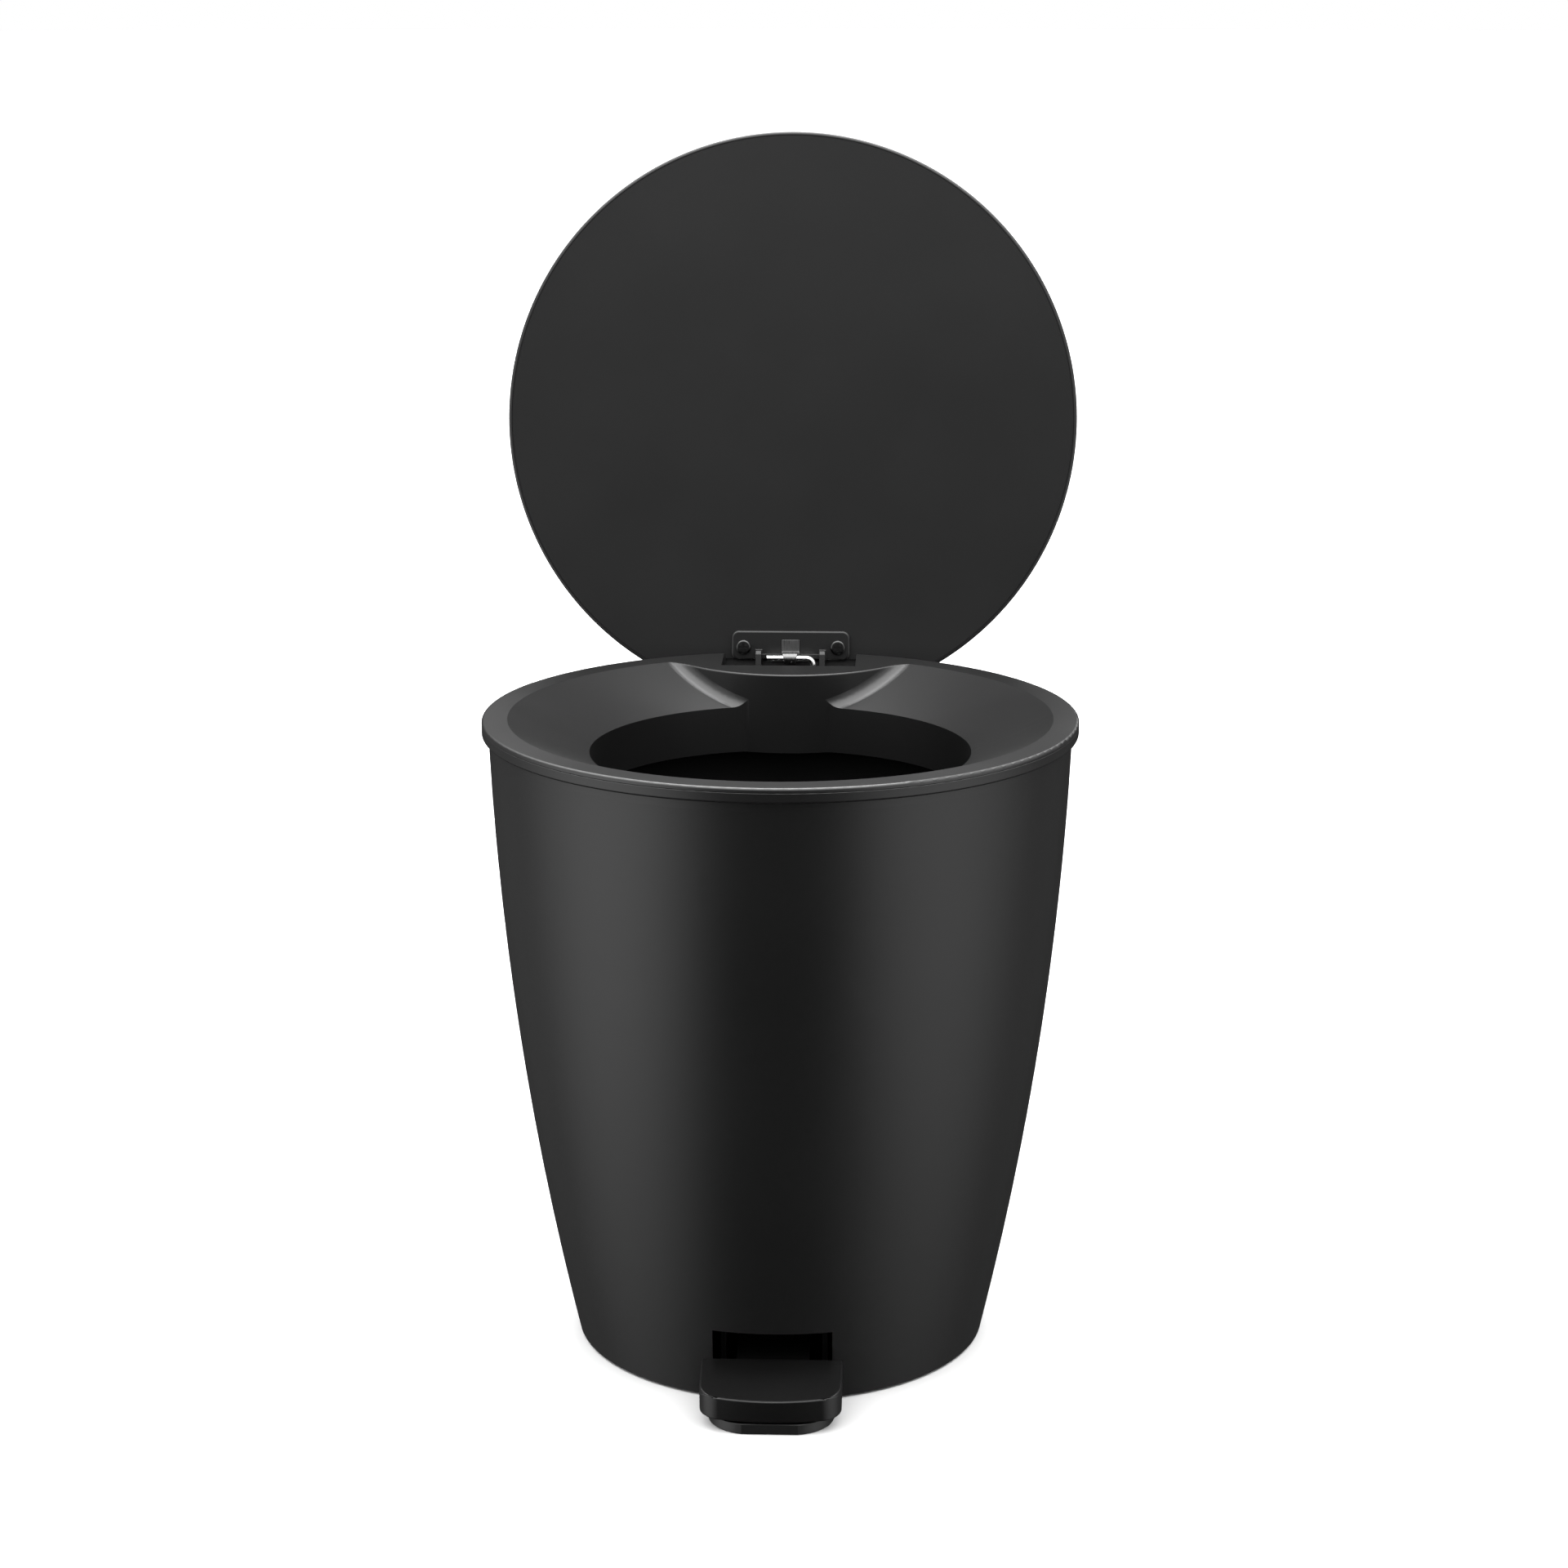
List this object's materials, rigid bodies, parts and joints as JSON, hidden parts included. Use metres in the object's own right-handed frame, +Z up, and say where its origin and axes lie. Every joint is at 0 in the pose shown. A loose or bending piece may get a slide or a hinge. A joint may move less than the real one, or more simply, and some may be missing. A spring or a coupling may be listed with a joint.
{
  "type": "pedal trash can",
  "caption": "Round tapered pedal trash can with a funnel collar, an inner bucket and a hinged lid that a foot pedal lifts through a wire rod.",
  "frame": {"origin": "on the floor, on the axis of the round body", "axes": "+Z up, the pedal points along -Y, the lid hinge is at +Y, +X to the right of someone facing the pedal"},
  "size_m": [0.258, 0.2901, 0.5029],
  "materials": {
    "body_black": "satin, fine even grain",
    "collar_black": "satin, fine even grain",
    "bucket_black": "satin",
    "base_black": "satin",
    "lid_black": "satin",
    "liner_black": "satin, flat",
    "bracket_black": "satin",
    "pedal_black": "satin",
    "pad_rubber": "matt",
    "wire_steel": "bright zinc-plated wire",
    "strap_steel": "zinc-plated sheet",
    "pin_steel": "turned",
    "clip_steel": "spring steel",
    "screw_steel": "zinc-plated, cross recess"
  },
  "bodies": {
    "bin": {"outer_body": "body_black", "collar_ring": "collar_black", "inner_bucket": "bucket_black", "bucket_bail": "wire_steel", "base_plate": "base_black", "hinge_block": "base_black", "pedal_axle": "pin_steel", "rubber_pad_1": "pad_rubber", "base_screw_1": "screw_steel", "rubber_pad_2": "pad_rubber", "base_screw_2": "screw_steel", "rubber_pad_3": "pad_rubber", "base_screw_3": "screw_steel", "rubber_pad_4": "pad_rubber", "base_screw_4": "screw_steel", "hinge_pin_left": "pin_steel", "hinge_pin_clip_left": "clip_steel", "hinge_screw_left": "screw_steel", "axle_clip_left": "clip_steel", "hinge_pin_right": "pin_steel", "hinge_pin_clip_right": "clip_steel", "hinge_screw_right": "screw_steel", "axle_clip_right": "clip_steel"},
    "lid": {"lid_cover": "lid_black", "lid_liner": "liner_black", "lid_bracket": "bracket_black", "lid_screw_left": "screw_steel", "lid_screw_right": "screw_steel", "lift_strap": "strap_steel"},
    "rod": {"lift_rod": "wire_steel", "rod_clip": "clip_steel"},
    "pedal": {"pedal_arm": "base_black", "pedal_cap": "pedal_black", "pedal_screw_left": "screw_steel", "pedal_screw_right": "screw_steel"}
  },
  "joints": [
    {"name": "lid_hinge", "type": "hinge", "parent": "bin", "child": "lid", "pos_m": [0, 0.116, 0.262], "axis": [1, 0, 0], "range_deg": [0, 98]},
    {"name": "rod_pivot", "type": "hinge", "parent": "lid", "child": "rod", "pos_m": [0, 0.116, 0.2707], "axis": [1, 0, 0], "range_deg": [-96.2, 0]},
    {"name": "pedal_pivot", "type": "hinge", "parent": "bin", "child": "pedal", "pos_m": [0, -0.006, 0.02], "axis": [1, 0, 0], "range_deg": [-7.5, 0]}
  ],
  "couplings": [
    {"joint": "rod_pivot", "follows": "lid_hinge", "ratio": -0.97932},
    {"joint": "pedal_pivot", "follows": "lid_hinge", "ratio": -0.074862}
  ]
}
